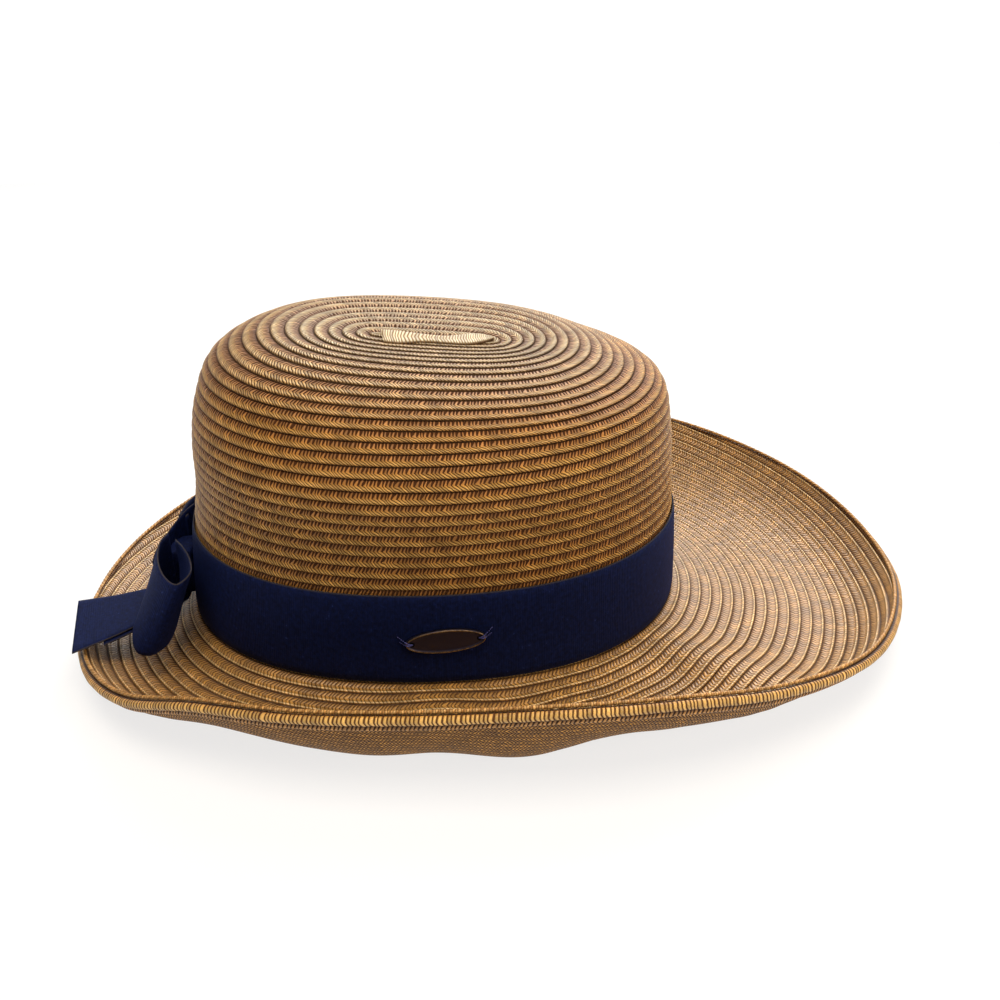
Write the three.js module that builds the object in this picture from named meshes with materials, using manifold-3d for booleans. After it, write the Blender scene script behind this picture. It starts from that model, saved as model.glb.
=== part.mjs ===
// A wide-brim sun hat of sewn straw braid, with a ribbon band, a bow and a small oval plate.
// Millimetres. +X points to the front of the hat, where the brim is widest, and +Z points up.
import * as THREE from "three";
import { mergeVertices } from "three/addons/utils/BufferGeometryUtils.js";
import Module from "manifold-3d";

const wasm = await Module();
wasm.setup();

// ---------------------------------------------------------------------------------------------
// Driving sizes
// ---------------------------------------------------------------------------------------------

const STRAW = 1.8; // thickness of the sewn braid
const GAP = 0.3; // air between two pieces that touch on the real hat
const RESTING_FLAT = 0.8; // height over which the brim's lowest places are pressed flat

const RIBBON = 1.0; // thickness of the grosgrain ribbon
const BAND_TOP_ROW = 28.1; // the band covers the crown from this row of braid
const BAND_BOTTOM_ROW = 35.9; // down to this one

const BINDING_WALL = 1.0; // thickness of the braid folded over the brim's edge
const BINDING_UP = 4.4; // how far it reaches in over the top of the brim
const BINDING_DOWN = 5.2; // and under it

const PLATE = { length: 29, width: 9.5, thickness: 1.0, rim: 1.1, rimRise: 0.5 };
const PLATE_HOLE = { radius: 1.0, inset: 2.4 };
const PLATE_PLACE = { angle: -86.7, row: 32, turn: 4 }; // degrees round, rows down, degrees of slant

const AROUND = 64; // facets round the crown and the brim
const CROWN_ROWS = [0, 2, 4, 6.5, 9, 11, 12.5, 14, 15.5, 17, 18.5, 20, 22, 25, 28, 32, 36];
const CROWN_JOIN_ROW = 12.5; // where the crown's two lengths of braid meet
const BRIM_STEPS = 12; // facets from the crown to the brim's edge

// The crown's shape. Each line is one row of braid, counted out from the straight strip that the
// sewing starts from: the middle of its oval, the oval's half length and half width, its height
// above the table, and how much it rises per millimetre towards the front and the far side.
// [row, centreX, centreY, halfLength, halfWidth, height, riseFront, riseFar]
const CROWN_LEVELS = [
  [0, 6.0, -11.5, 21.5, 0.0, 117.5, -0.11, 0.15],
  [4, 4.5, -10.5, 41.0, 21.0, 119.0, -0.1, 0.08],
  [8, 2.5, -10.5, 60.5, 42.0, 119.5, -0.1, 0.08],
  [12, 1.0, -11.0, 79.0, 61.0, 112.5, -0.07, 0.055],
  [16, 4.0, -8.5, 91.0, 76.5, 100.5, -0.02, 0.035],
  [20, 4.0, -6.0, 95.0, 86.0, 83.5, -0.02, 0.01],
  [24, 3.5, -2.0, 97.0, 86.5, 65.5, -0.02, 0],
  [28, 2.0, 0.0, 99.5, 85.0, 46.5, -0.02, 0],
  [36, 0.0, 0.0, 102.0, 84.5, 9.0, -0.025, 0],
];
const BASE_ROW = 36; // the row where the crown turns into the brim
const OVAL_SQUARENESS = 0.45; // 1 makes the rows true ellipses, 0 makes them straight-sided

// The brim's shape. Each line is one direction round the hat, 0 at the front and -90 at the near
// side: the width of braid sewn there, and the brim's slope in degrees, upwards being positive,
// where it leaves the crown, a third and two thirds of the way out, and at the edge.
// [angle, width, slopeAtCrown, slopeAtThird, slopeAtTwoThirds, slopeAtEdge]
const BRIM_STATIONS = [
  [-165, 51, -37, -19, 9, 45],
  [-150, 53, -37, -17, 12, 53],
  [-135, 56, -38, -15, 24, 65],
  [-120, 57, -37, -3, 42, 70],
  [-105, 62, -33, -4, 51, 74],
  [-90, 68, -25, -10, 58, 77],
  [-75, 73, -29, -3, 53, 71],
  [-60, 76, -29, 7, 30, 77],
  [-45, 83, -23, -3, 18, 73],
  [-30, 91, -17, -2, 3, 64],
  [-15, 96, -15, -3, -1, 60],
  [0, 98, -17, -3, -1, 49],
  [30, 96, -22, 0, 14, 44],
  [60, 89, -28, 3, 33, 42],
  [90, 79, -32, -4, 34, 40],
  [120, 68, -34, -9, 28, 38],
  [150, 58, -36, -17, 15, 35],
  [180, 51, -38, -20, 6, 37],
];

// Low waves that run across the brim, where the braid has eased as it was sewn. Each one is the
// direction it lies in, its half width in degrees, and its height halfway across the brim.
// [angle, halfWidth, height]
const BRIM_WAVES = [
  [-88, 7, 3.5],
  [-62, 8, 1.1],
  [-36, 8, 2.5],
];

// The bow's pieces, as the edges of their ribbon: x, y and height of a few points on each.
// The near loop stands open and flares towards its lower edge; the far one lies flatter.
const NEAR_LOOP = {
  upper: [
    [-102.8, -25.3, 42],
    [-96.5, -38, 43.5],
    [-90, -53, 44.5],
    [-88, -65, 44.5],
    [-92, -69, 43],
    [-97.5, -63, 43.5],
    [-102.5, -50, 46],
    [-105.5, -36, 47],
    [-105.6, -25.3, 46],
  ],
  lower: [
    [-103, -25.3, 17],
    [-103, -38, 13.5],
    [-102, -50, 12.8],
    [-102.5, -58, 12.5],
    [-107, -64, 12],
    [-113, -62, 13],
    [-117, -50, 15.8],
    [-114, -36, 16],
    [-106, -25.3, 16.5],
  ],
};
const FAR_LOOP = {
  upper: [
    [-103, -7.7, 44],
    [-102.4, 8, 43],
    [-98.8, 22, 42],
    [-97.2, 27.5, 41],
    [-98.6, 30.5, 41],
    [-102.2, 25, 42],
    [-106, 10, 43.5],
    [-105.8, -7.7, 44.5],
  ],
  lower: [
    [-103.4, -7.7, 17],
    [-105.2, 8, 12],
    [-102, 22, 11.5],
    [-101, 28, 11],
    [-103.4, 31, 10.5],
    [-107.6, 25, 10.5],
    [-110.5, 10, 11],
    [-106.2, -7.7, 17],
  ],
};
// The two tails come out below the knot and lie over the brim, one on the other.
const TOP_TAIL = {
  far: [
    [-103, -11, 14.7],
    [-119, -15.5, 14.9],
    [-132, -22, 15.5],
    [-146.5, -28.5, 17],
  ],
  near: [
    [-103, -23, 14.7],
    [-113, -40, 14.8],
    [-122, -54, 14.8],
    [-136.3, -64.8, 14.8],
  ],
};
const UNDER_TAIL_DROP = RIBBON + GAP; // how far below the upper tail the lower one lies
const UNDER_TAIL_SHIFT = 1.5; // how far it lies towards the near side
const UNDER_TAIL_SHORTER = 0.22; // the share of the tail's length by which it is shorter
// The knot's middle, its size, and how square its corners are: 1 is an ellipse, 0 a box.
const KNOT = { x: -103.3, y: -16.5, middle: 29, width: 17, depth: 12, height: 27, corner: 0.4 };

// ---------------------------------------------------------------------------------------------
// Curves and surfaces
// ---------------------------------------------------------------------------------------------

const radians = (degrees) => (degrees * Math.PI) / 180;

// The values of a table at a place between its lines: a cubic through them, whose slope at each
// line is the one from the line before it to the line after it. The first column is the place.
function smooth(table, at) {
  const last = table.length - 1;
  let k = 0;
  while (k < last - 1 && at > table[k + 1][0]) {
    k += 1;
  }
  const slope = (i, column) => {
    const before = table[Math.max(i - 1, 0)];
    const after = table[Math.min(i + 1, last)];
    return (after[column] - before[column]) / (after[0] - before[0]);
  };
  const span = table[k + 1][0] - table[k][0];
  const s = (at - table[k][0]) / span;
  const values = [];
  for (let column = 1; column < table[k].length; column++) {
    const start = table[k][column];
    const end = table[k + 1][column];
    const leave = slope(k, column) * span;
    const arrive = slope(k + 1, column) * span;
    values.push(
      start * (1 + 2 * s) * (1 - s) ** 2 +
        leave * s * (1 - s) ** 2 +
        end * s * s * (3 - 2 * s) +
        arrive * s * s * (s - 1),
    );
  }
  return values;
}

// The stations again a turn earlier and a turn later, so that the curve closes on itself.
const shifted = (stations, turn) => stations.map(([angle, ...rest]) => [angle + turn, ...rest]);
const BRIM_RING = [
  ...shifted(BRIM_STATIONS.slice(-2), -360),
  ...BRIM_STATIONS,
  ...shifted(BRIM_STATIONS.slice(0, 2), 360),
];

// A point on the outside of the crown: the angle runs round the oval, in radians from the front.
function crownPoint(angle, row) {
  const [centreX, centreY, halfLength, halfWidth, height, riseFront, riseFar] = smooth(
    CROWN_LEVELS,
    row,
  );
  const c = Math.cos(angle);
  const s = Math.sin(angle);
  const end = c / Math.sqrt(c * c + OVAL_SQUARENESS ** 2 * s * s);
  const x = (halfLength - halfWidth) * end + halfWidth * c;
  const y = halfWidth * s;
  return new THREE.Vector3(centreX + x, centreY + y, height + riseFront * x + riseFar * y);
}

// The way straight out from the crown, level, at its base.
function outward(angle) {
  const step = 1e-3;
  const along = crownPoint(angle + step, BASE_ROW).sub(crownPoint(angle - step, BASE_ROW));
  return new THREE.Vector3(along.y, -along.x, 0).normalize();
}

// How high the waves stand in one direction, given in degrees, halfway across the brim.
function waveHeight(turn) {
  return BRIM_WAVES.reduce(
    (sum, [angle, halfWidth, height]) => sum + height * Math.exp(-(((turn - angle) / halfWidth) ** 2)),
    0,
  );
}

// The brim's middle surface from the crown to the edge, at one angle: a list of points.
// The braid keeps its width, so each short step goes on by the same length at the slope there.
function brimSection(angle) {
  const turn = THREE.MathUtils.radToDeg(Math.atan2(Math.sin(angle), Math.cos(angle)));
  const [width, ...slopes] = smooth(BRIM_RING, turn);
  const slopeTable = slopes.map((slope, i) => [i / (slopes.length - 1), slope]);
  const base = crownPoint(angle, BASE_ROW);
  const out = outward(angle);
  const fineSteps = 5;
  const step = width / (BRIM_STEPS * fineSteps);
  const points = [base.clone()];
  let reach = 0;
  let rise = 0;
  for (let k = 0; k < BRIM_STEPS * fineSteps; k++) {
    const slope = radians(smooth(slopeTable, (k + 0.5) / (BRIM_STEPS * fineSteps))[0]);
    reach += step * Math.cos(slope);
    rise += step * Math.sin(slope);
    if ((k + 1) % fineSteps === 0) {
      const point = base.clone().addScaledVector(out, reach);
      const share = (k + 1) / (BRIM_STEPS * fineSteps);
      point.z += rise + waveHeight(turn) * Math.sin(Math.PI * share);
      points.push(point);
    }
  }
  return points;
}

// ---------------------------------------------------------------------------------------------
// Closed solids from sheets of points
// ---------------------------------------------------------------------------------------------

// A grid of points grid[i][j] moved along its normals. i runs round (or along), j runs across.
function offset(grid, distance, ring) {
  const lastI = grid.length - 1;
  const lastJ = grid[0].length - 1;
  return grid.map((line, i) =>
    line.map((point, j) => {
      const before = ring ? grid[(i + lastI) % grid.length] : grid[Math.max(i - 1, 0)];
      const after = ring ? grid[(i + 1) % grid.length] : grid[Math.min(i + 1, lastI)];
      const along = after[j].clone().sub(before[j]);
      const across = line[Math.min(j + 1, lastJ)].clone().sub(line[Math.max(j - 1, 0)]);
      return point.clone().addScaledVector(across.cross(along).normalize(), distance);
    }),
  );
}

// The closed mesh between two sheets of the same grid. A ring closes on itself along i.
// The upper sheet is on the side that the offsets above go to.
function between(upper, lower, ring, openStart = true) {
  const across = upper[0].length;
  const count = upper.length;
  const positions = [];
  for (const sheet of [upper, lower]) {
    for (const line of sheet) {
      for (const point of line) {
        positions.push(point.x, point.y, point.z);
      }
    }
  }
  const at = (side, i, j) => (side * count + (i % count)) * across + j;
  const faces = [];
  const quad = (a, b, c, d) => faces.push(a, b, c, a, c, d);
  const spans = ring ? count : count - 1;
  for (let i = 0; i < spans; i++) {
    for (let j = 0; j < across - 1; j++) {
      quad(at(0, i, j), at(0, i, j + 1), at(0, i + 1, j + 1), at(0, i + 1, j));
      quad(at(1, i, j), at(1, i + 1, j), at(1, i + 1, j + 1), at(1, i, j + 1));
    }
    const last = across - 1;
    if (openStart) {
      quad(at(0, i, 0), at(0, i + 1, 0), at(1, i + 1, 0), at(1, i, 0));
    }
    quad(at(0, i, last), at(1, i, last), at(1, i + 1, last), at(0, i + 1, last));
  }
  if (!ring) {
    for (let j = 0; j < across - 1; j++) {
      quad(at(0, 0, j), at(1, 0, j), at(1, 0, j + 1), at(0, 0, j + 1));
      const end = count - 1;
      quad(at(0, end, j), at(0, end, j + 1), at(1, end, j + 1), at(1, end, j));
    }
  }
  return closedGeometry(positions, faces);
}

// The closed ring swept by one closed section: sections[i][k] is corner k at place i.
function sweptRing(sections) {
  const corners = sections[0].length;
  const positions = sections.flat().flatMap((point) => [point.x, point.y, point.z]);
  const faces = [];
  for (let i = 0; i < sections.length; i++) {
    const next = (i + 1) % sections.length;
    for (let k = 0; k < corners; k++) {
      const after = (k + 1) % corners;
      const [a, b] = [i * corners + k, i * corners + after];
      const [c, d] = [next * corners + after, next * corners + k];
      faces.push(a, b, c, a, c, d);
    }
  }
  return closedGeometry(positions, faces);
}

// Merges the corners that coincide and drops the faces that have shrunk to a line.
function closedGeometry(positions, faces) {
  const raw = new THREE.BufferGeometry();
  raw.setAttribute("position", new THREE.Float32BufferAttribute(positions, 3));
  raw.setIndex(faces);
  const merged = mergeVertices(raw, 1e-3);
  const index = merged.index.array;
  const kept = [];
  for (let i = 0; i < index.length; i += 3) {
    const [a, b, c] = [index[i], index[i + 1], index[i + 2]];
    if (a !== b && b !== c && a !== c) {
      kept.push(a, b, c);
    }
  }
  merged.setIndex(kept);
  merged.computeVertexNormals();
  return merged;
}

// A closed geometry as a manifold-3d solid, for cutting and joining, and back again.
function solidFrom(geometry) {
  const bare = new THREE.BufferGeometry();
  bare.setAttribute("position", geometry.getAttribute("position"));
  bare.setIndex(geometry.getIndex());
  const merged = mergeVertices(bare, 1e-4);
  return new wasm.Manifold(
    new wasm.Mesh({
      numProp: 3,
      vertProperties: merged.getAttribute("position").array,
      triVerts: new Uint32Array(merged.getIndex().array),
    }),
  );
}

function geometryFrom(solid) {
  const mesh = solid.getMesh();
  const geometry = new THREE.BufferGeometry();
  geometry.setAttribute("position", new THREE.BufferAttribute(mesh.vertProperties, 3));
  geometry.setIndex(Array.from(mesh.triVerts));
  geometry.computeVertexNormals();
  return geometry;
}

const hat = new THREE.Group();

function addPiece(name, geometry, { color, roughness, metalness = 0 }) {
  const material = new THREE.MeshStandardMaterial({ color, roughness, metalness });
  const mesh = new THREE.Mesh(geometry, material);
  mesh.name = name;
  hat.add(mesh);
  return mesh;
}

const STRAW_LOOK = { color: "#c39a5e", roughness: 0.7 };
const RIBBON_LOOK = { color: "#161c3c", roughness: 0.85 };
const PLATE_LOOK = { color: "#4a3a28", roughness: 0.4, metalness: 1 };

const angles = Array.from({ length: AROUND }, (_, i) => (2 * Math.PI * i) / AROUND);

// ---------------------------------------------------------------------------------------------
// The pieces
// ---------------------------------------------------------------------------------------------

// The crown: a hollow shell of braid in two lengths, the tip and the wall. The tip is closed
// where its first row shrinks to a line, and a thin gap parts it from the wall.
function crown() {
  const outside = angles.map((angle) => CROWN_ROWS.map((row) => crownPoint(angle, row)));
  const inside = offset(outside, -STRAW, true);
  inside.forEach((line, i) => {
    line[0] = outside[i][0].clone();
    line[0].z -= STRAW;
  });
  const join = CROWN_ROWS.indexOf(CROWN_JOIN_ROW);
  const down = outside.map((line) => line[join + 1].clone().sub(line[join - 1]).normalize());
  const length = (sheet, first, last, side) =>
    sheet.map((line, i) =>
      line
        .slice(first, last + 1)
        .map((point, j) =>
          first + j === join ? point.clone().addScaledVector(down[i], (side * GAP) / 2) : point,
        ),
    );
  const end = CROWN_ROWS.length - 1;
  return {
    tip: between(length(outside, 0, join, -1), length(inside, 0, join, -1), true, false),
    wall: between(length(outside, join, end, 1), length(inside, join, end, 1), true),
  };
}

// The brim: its top and underside, and a lip that runs in below the crown's wall.
function brim() {
  const middle = angles.map((angle) => brimSection(angle));
  const drop = new THREE.Vector3(0, 0, -GAP - STRAW / 2);
  middle.forEach((line, i) => {
    const out = outward(angles[i]);
    line.forEach((point) => point.add(drop));
    line.unshift(line[0].clone().addScaledVector(out, -STRAW));
  });
  const top = offset(middle, STRAW / 2, true);
  const underside = offset(middle, -STRAW / 2, true);
  const lowest = Math.min(...underside.flat().map((point) => point.z));
  for (const point of underside.flat()) {
    point.z = Math.max(point.z, lowest + RESTING_FLAT);
  }
  return { geometry: between(top, underside, true), top, underside };
}

// The braid folded over the brim's edge: a U that keeps a gap all round it.
function edgeBinding({ top, underside }) {
  const last = top[0].length - 1;
  const sections = angles.map((_, i) => {
    const edgeTop = top[i][last];
    const edgeUnder = underside[i][last];
    const inTop = top[i][last - 1].clone().sub(edgeTop).normalize();
    const inUnder = underside[i][last - 1].clone().sub(edgeUnder).normalize();
    const up = edgeTop.clone().sub(edgeUnder).normalize();
    const place = (from, inwards, along, height) =>
      from.clone().addScaledVector(inwards, along).addScaledVector(up, height);
    const far = GAP + BINDING_WALL;
    const nose = 0.85 * far;
    const noseHeight = 0.2 * far;
    return [
      place(edgeTop, inTop, BINDING_UP, far),
      place(edgeTop, inTop, 0, far),
      place(edgeTop, inTop, -nose, noseHeight),
      place(edgeUnder, inUnder, -nose, -noseHeight),
      place(edgeUnder, inUnder, 0, -far),
      place(edgeUnder, inUnder, BINDING_DOWN, -far),
      place(edgeUnder, inUnder, BINDING_DOWN, -GAP),
      place(edgeUnder, inUnder, -GAP, -GAP),
      place(edgeTop, inTop, -GAP, GAP),
      place(edgeTop, inTop, BINDING_UP, GAP),
    ];
  });
  return sweptRing(sections);
}

// The crown's outside that the ribbon covers, from its top row down to the given one.
function bandWall(bottomRow) {
  const rows = [BAND_TOP_ROW, (BAND_TOP_ROW + bottomRow) / 2, bottomRow];
  return angles.map((angle) => rows.map((row) => crownPoint(angle, row)));
}

// The ribbon round the foot of the crown.
function hatBand() {
  const wall = bandWall(BAND_BOTTOM_ROW);
  return between(offset(wall, GAP + RIBBON, true), offset(wall, GAP, true), true);
}

// A piece of ribbon between two edges, each a smooth curve through a few points.
function ribbonPiece(firstEdge, secondEdge, steps, spans) {
  const curves = [firstEdge, secondEdge].map(
    (edge) => new THREE.CatmullRomCurve3(edge.map((point) => new THREE.Vector3(...point))),
  );
  const [first, second] = curves.map((curve) => curve.getPoints(steps));
  const sheet = first.map((point, i) =>
    Array.from({ length: spans + 1 }, (_, j) => point.clone().lerp(second[i], j / spans)),
  );
  return between(offset(sheet, RIBBON / 2, false), offset(sheet, -RIBBON / 2, false), false);
}

// The lower tail: the upper one's edges, shorter and set down by its own thickness and a gap.
function underTail() {
  const lower = (edge) => {
    const curve = new THREE.CatmullRomCurve3(edge.map((point) => new THREE.Vector3(...point)));
    return Array.from({ length: edge.length }, (_, i) => {
      const share = (i / (edge.length - 1)) * (1 - UNDER_TAIL_SHORTER);
      const point = curve.getPoint(share);
      return [point.x, point.y - UNDER_TAIL_SHIFT, point.z - UNDER_TAIL_DROP];
    });
  };
  return ribbonPiece(lower(TOP_TAIL.far), lower(TOP_TAIL.near), 5, 3);
}

// The short piece wrapped round the middle of the bow: a rounded block with flat ends, its back
// cut to lie along the band.
function knot() {
  const corners = 24;
  const rounded = (value) => Math.sign(value) * Math.abs(value) ** KNOT.corner;
  const outline = Array.from({ length: corners }, (_, i) => {
    const turn = (2 * Math.PI * i) / corners;
    const x = (KNOT.depth / 2) * rounded(Math.cos(turn));
    const y = (KNOT.width / 2) * rounded(Math.sin(turn));
    return new THREE.Vector2(x, y);
  });
  const block = new THREE.ExtrudeGeometry(new THREE.Shape(outline), {
    depth: KNOT.height,
    bevelEnabled: false,
  });
  block.translate(KNOT.x, KNOT.y, KNOT.middle - KNOT.height / 2);
  const cutDepth = 20;
  const wall = bandWall(BASE_ROW);
  const clear = offset(wall, GAP + RIBBON + GAP, true);
  const behind = between(clear, offset(wall, -cutDepth, true), true);
  return geometryFrom(solidFrom(block).subtract(solidFrom(behind)));
}

// The oval plate: blank, with a raised rim, and a hole at each end for its thread. It is built
// flat, its face up, and then stood against the band.
function ovalPlate() {
  const outline = (inset) => {
    const shape = new THREE.Shape();
    const halfLength = PLATE.length / 2 - inset;
    shape.absellipse(0, 0, halfLength, PLATE.width / 2 - inset, 0, 2 * Math.PI);
    return shape;
  };
  const extrude = (shape, depth) =>
    solidFrom(new THREE.ExtrudeGeometry(shape, { depth, bevelEnabled: false, curveSegments: 24 }));
  const body = extrude(outline(0), PLATE.thickness);
  const rimShape = outline(0);
  rimShape.holes.push(outline(PLATE.rim));
  const rim = extrude(rimShape, PLATE.thickness + PLATE.rimRise);
  let plate = body.add(rim);
  for (const side of [-1, 1]) {
    const drill = new THREE.CylinderGeometry(PLATE_HOLE.radius, PLATE_HOLE.radius, 6, 12);
    drill.rotateX(Math.PI / 2);
    drill.translate(side * (PLATE.length / 2 - PLATE_HOLE.inset), 0, 0);
    plate = plate.subtract(solidFrom(drill));
  }
  return geometryFrom(plate);
}

// Where the plate lies on the band: its place, and its axes along, up and out of the band.
function platePlace() {
  const angle = radians(PLATE_PLACE.angle);
  const step = 0.01;
  const at = crownPoint(angle, PLATE_PLACE.row);
  const along = crownPoint(angle + step, PLATE_PLACE.row).sub(at).normalize();
  const up = crownPoint(angle, PLATE_PLACE.row - step).sub(at).normalize();
  const out = along.clone().cross(up).normalize();
  const clear = GAP + RIBBON + GAP;
  const place = new THREE.Matrix4().makeBasis(along, out.clone().cross(along), out);
  place.setPosition(at.addScaledVector(out, clear));
  return place.multiply(new THREE.Matrix4().makeRotationZ(radians(PLATE_PLACE.turn)));
}

const crownPieces = crown();
const brimPiece = brim();
addPiece("crown_tip", crownPieces.tip, STRAW_LOOK);
addPiece("crown_wall", crownPieces.wall, STRAW_LOOK);
addPiece("brim", brimPiece.geometry, STRAW_LOOK);
addPiece("edge_binding", edgeBinding(brimPiece), STRAW_LOOK);
addPiece("hat_band", hatBand(), RIBBON_LOOK);
addPiece("bow_loop_near", ribbonPiece(NEAR_LOOP.upper, NEAR_LOOP.lower, 16, 3), RIBBON_LOOK);
addPiece("bow_loop_far", ribbonPiece(FAR_LOOP.upper, FAR_LOOP.lower, 14, 3), RIBBON_LOOK);
addPiece("bow_tail_top", ribbonPiece(TOP_TAIL.far, TOP_TAIL.near, 5, 3), RIBBON_LOOK);
addPiece("bow_tail_under", underTail(), RIBBON_LOOK);
addPiece("bow_knot", knot(), RIBBON_LOOK);
addPiece("oval_plate", ovalPlate(), PLATE_LOOK).applyMatrix4(platePlace());

// The origin is the middle of the hat's box, at the level that the hat rests on.
const box = new THREE.Box3().setFromObject(hat);
const middle = box.getCenter(new THREE.Vector3());
hat.position.set(-middle.x, -middle.y, -box.min.z);

export default hat;
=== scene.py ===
# %% [markdown]
# # A wide-brim sun hat of sewn straw braid
#
# A hat like this is one long flat braid, plaited from paper straw and sewn to itself row by row.
# The maker starts from a short straight strip at the tip, goes round and round down the crown,
# and carries on out to the edge of the brim. Each row lies a little over the next one, so every
# row ends in a raised, rope-like edge with a dark step below it. Here the braid is geometry, and
# only its single straws are left to the material.
#
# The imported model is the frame: it fixes every size, and the pieces here dress it.

# %% The frame and the tools
import math
from functools import partial

import bmesh
import bpy
import numpy as np
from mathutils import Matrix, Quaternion, Vector


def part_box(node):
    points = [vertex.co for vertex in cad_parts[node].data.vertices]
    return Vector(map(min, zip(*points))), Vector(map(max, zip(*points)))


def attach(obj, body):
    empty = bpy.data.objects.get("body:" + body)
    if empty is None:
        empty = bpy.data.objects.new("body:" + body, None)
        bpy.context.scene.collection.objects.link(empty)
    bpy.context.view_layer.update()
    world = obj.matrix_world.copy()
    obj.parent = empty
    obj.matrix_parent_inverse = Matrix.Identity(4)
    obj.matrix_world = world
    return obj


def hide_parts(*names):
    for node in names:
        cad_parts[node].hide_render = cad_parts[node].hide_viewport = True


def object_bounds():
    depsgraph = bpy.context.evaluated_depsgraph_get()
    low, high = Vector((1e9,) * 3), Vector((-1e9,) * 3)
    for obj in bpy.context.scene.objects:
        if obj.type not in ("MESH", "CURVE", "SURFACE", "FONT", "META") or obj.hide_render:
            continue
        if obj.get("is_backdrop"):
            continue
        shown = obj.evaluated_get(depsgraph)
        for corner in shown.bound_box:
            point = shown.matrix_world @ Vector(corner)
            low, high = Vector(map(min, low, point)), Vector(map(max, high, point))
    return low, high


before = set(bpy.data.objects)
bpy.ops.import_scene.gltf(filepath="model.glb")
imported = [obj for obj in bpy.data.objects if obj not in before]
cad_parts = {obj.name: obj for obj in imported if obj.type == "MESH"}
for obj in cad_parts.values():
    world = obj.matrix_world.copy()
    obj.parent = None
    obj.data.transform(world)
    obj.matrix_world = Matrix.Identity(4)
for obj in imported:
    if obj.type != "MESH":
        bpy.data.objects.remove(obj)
cad_low, cad_high = (list(corner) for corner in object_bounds())
MM = 0.001
cad_size = [round((b - a) / MM) for a, b in zip(cad_low, cad_high)]
print("solids:", len(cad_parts), "box in mm:", cad_size)

# %% [markdown]
# ## The shape of the crown and the brim
#
# Both are short tables. The crown is a stack of ovals, one for each few rows of braid. The brim
# is a fan of sections round the hat, each given by its slopes. Slopes instead of points keep the
# braid's width constant where the brim waves up and down, as sewing does.

# %% Tables
STRAW = 1.8  # thickness of the sewn braid, in mm as all the sizes in these tables
GAP = 0.3  # clearance between two pieces that touch on the real hat
RIBBON = 1.0  # thickness of the ribbon
BRAID_PITCH = 4.6  # from one row of braid to the next on the brim
BASE_ROW = 36  # the row where the crown turns into the brim
OVAL_SQUARENESS = 0.45  # of the crown's rounded ends: 1 is an ellipse, less is squarer
BAND_TOP_ROW, BAND_BOTTOM_ROW = 28.1, 35.9  # the ribbon covers the crown between these rows

# row, centreX, centreY, halfLength, halfWidth, height, riseFront, riseFar
CROWN_LEVELS = np.array([
    [0, 6.0, -11.5, 21.5, 0.0, 117.5, -0.11, 0.15],
    [4, 4.5, -10.5, 41.0, 21.0, 119.0, -0.1, 0.08],
    [8, 2.5, -10.5, 60.5, 42.0, 119.5, -0.1, 0.08],
    [12, 1.0, -11.0, 79.0, 61.0, 112.5, -0.07, 0.055],
    [16, 4.0, -8.5, 91.0, 76.5, 100.5, -0.02, 0.035],
    [20, 4.0, -6.0, 95.0, 86.0, 83.5, -0.02, 0.01],
    [24, 3.5, -2.0, 97.0, 86.5, 65.5, -0.02, 0],
    [28, 2.0, 0.0, 99.5, 85.0, 46.5, -0.02, 0],
    [36, 0.0, 0.0, 102.0, 84.5, 9.0, -0.025, 0],
])

# angle, width, slopeAtCrown, slopeAtThird, slopeAtTwoThirds, slopeAtEdge
BRIM_STATIONS = np.array([
    [-165, 51, -37, -19, 9, 45],
    [-150, 53, -37, -17, 12, 53],
    [-135, 56, -38, -15, 24, 65],
    [-120, 57, -37, -3, 42, 70],
    [-105, 62, -33, -4, 51, 74],
    [-90, 68, -25, -10, 58, 77],
    [-75, 73, -29, -3, 53, 71],
    [-60, 76, -29, 7, 30, 77],
    [-45, 83, -23, -3, 18, 73],
    [-30, 91, -17, -2, 3, 64],
    [-15, 96, -15, -3, -1, 60],
    [0, 98, -17, -3, -1, 49],
    [30, 96, -22, 0, 14, 44],
    [60, 89, -28, 3, 33, 42],
    [90, 79, -32, -4, 34, 40],
    [120, 68, -34, -9, 28, 38],
    [150, 58, -36, -17, 15, 35],
    [180, 51, -38, -20, 6, 37],
])
TURN = np.array([360, 0, 0, 0, 0, 0])
BRIM_RING = np.vstack([BRIM_STATIONS[-2:] - TURN, BRIM_STATIONS, BRIM_STATIONS[:2] + TURN])

# direction, half width in degrees, height: low waves where the braid has eased as it was sewn
BRIM_WAVES = [(-88, 7, 3.5), (-62, 8, 1.1), (-36, 8, 2.5)]
# on top of them, in the same columns, small folds that only the sewn braid shows
SEWN_FOLDS = [(-76, 6, -1.5), (-59, 5, -1.8), (-38, 5, 2.0), (-27, 5, -1.0)]

# %% Curves through a table
def smooth(table, at):
    """The table's values at any place: a cubic through its lines, its first column the place."""
    at = np.asarray(at, float)
    places, values = table[:, 0], table[:, 1:]
    last = len(places) - 1
    lines = np.arange(last + 1)
    before, after = np.maximum(lines - 1, 0), np.minimum(lines + 1, last)
    slopes = (values[after] - values[before]) / (places[after] - places[before])[:, None]
    k = np.searchsorted(places[1:last], at)
    span = (places[k + 1] - places[k])[..., None]
    s = (at - places[k])[..., None] / span
    start = values[k] * (1 + 2 * s) + slopes[k] * span * s
    end = values[k + 1] * (3 - 2 * s) + slopes[k + 1] * span * (s - 1)
    return start * (1 - s) ** 2 + end * s * s


def crown_point(angle, row):
    """A point on the crown; the angle runs round it in radians, from the front."""
    level = np.moveaxis(smooth(CROWN_LEVELS, row), -1, 0)
    centre_x, centre_y, length, width, height, front, far = level
    c, s = np.cos(angle), np.sin(angle)
    x = (length - width) * c / np.sqrt(c * c + OVAL_SQUARENESS**2 * s * s) + width * c
    y = width * s
    return np.stack([centre_x + x, centre_y + y, height + front * x + far * y], -1)


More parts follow.
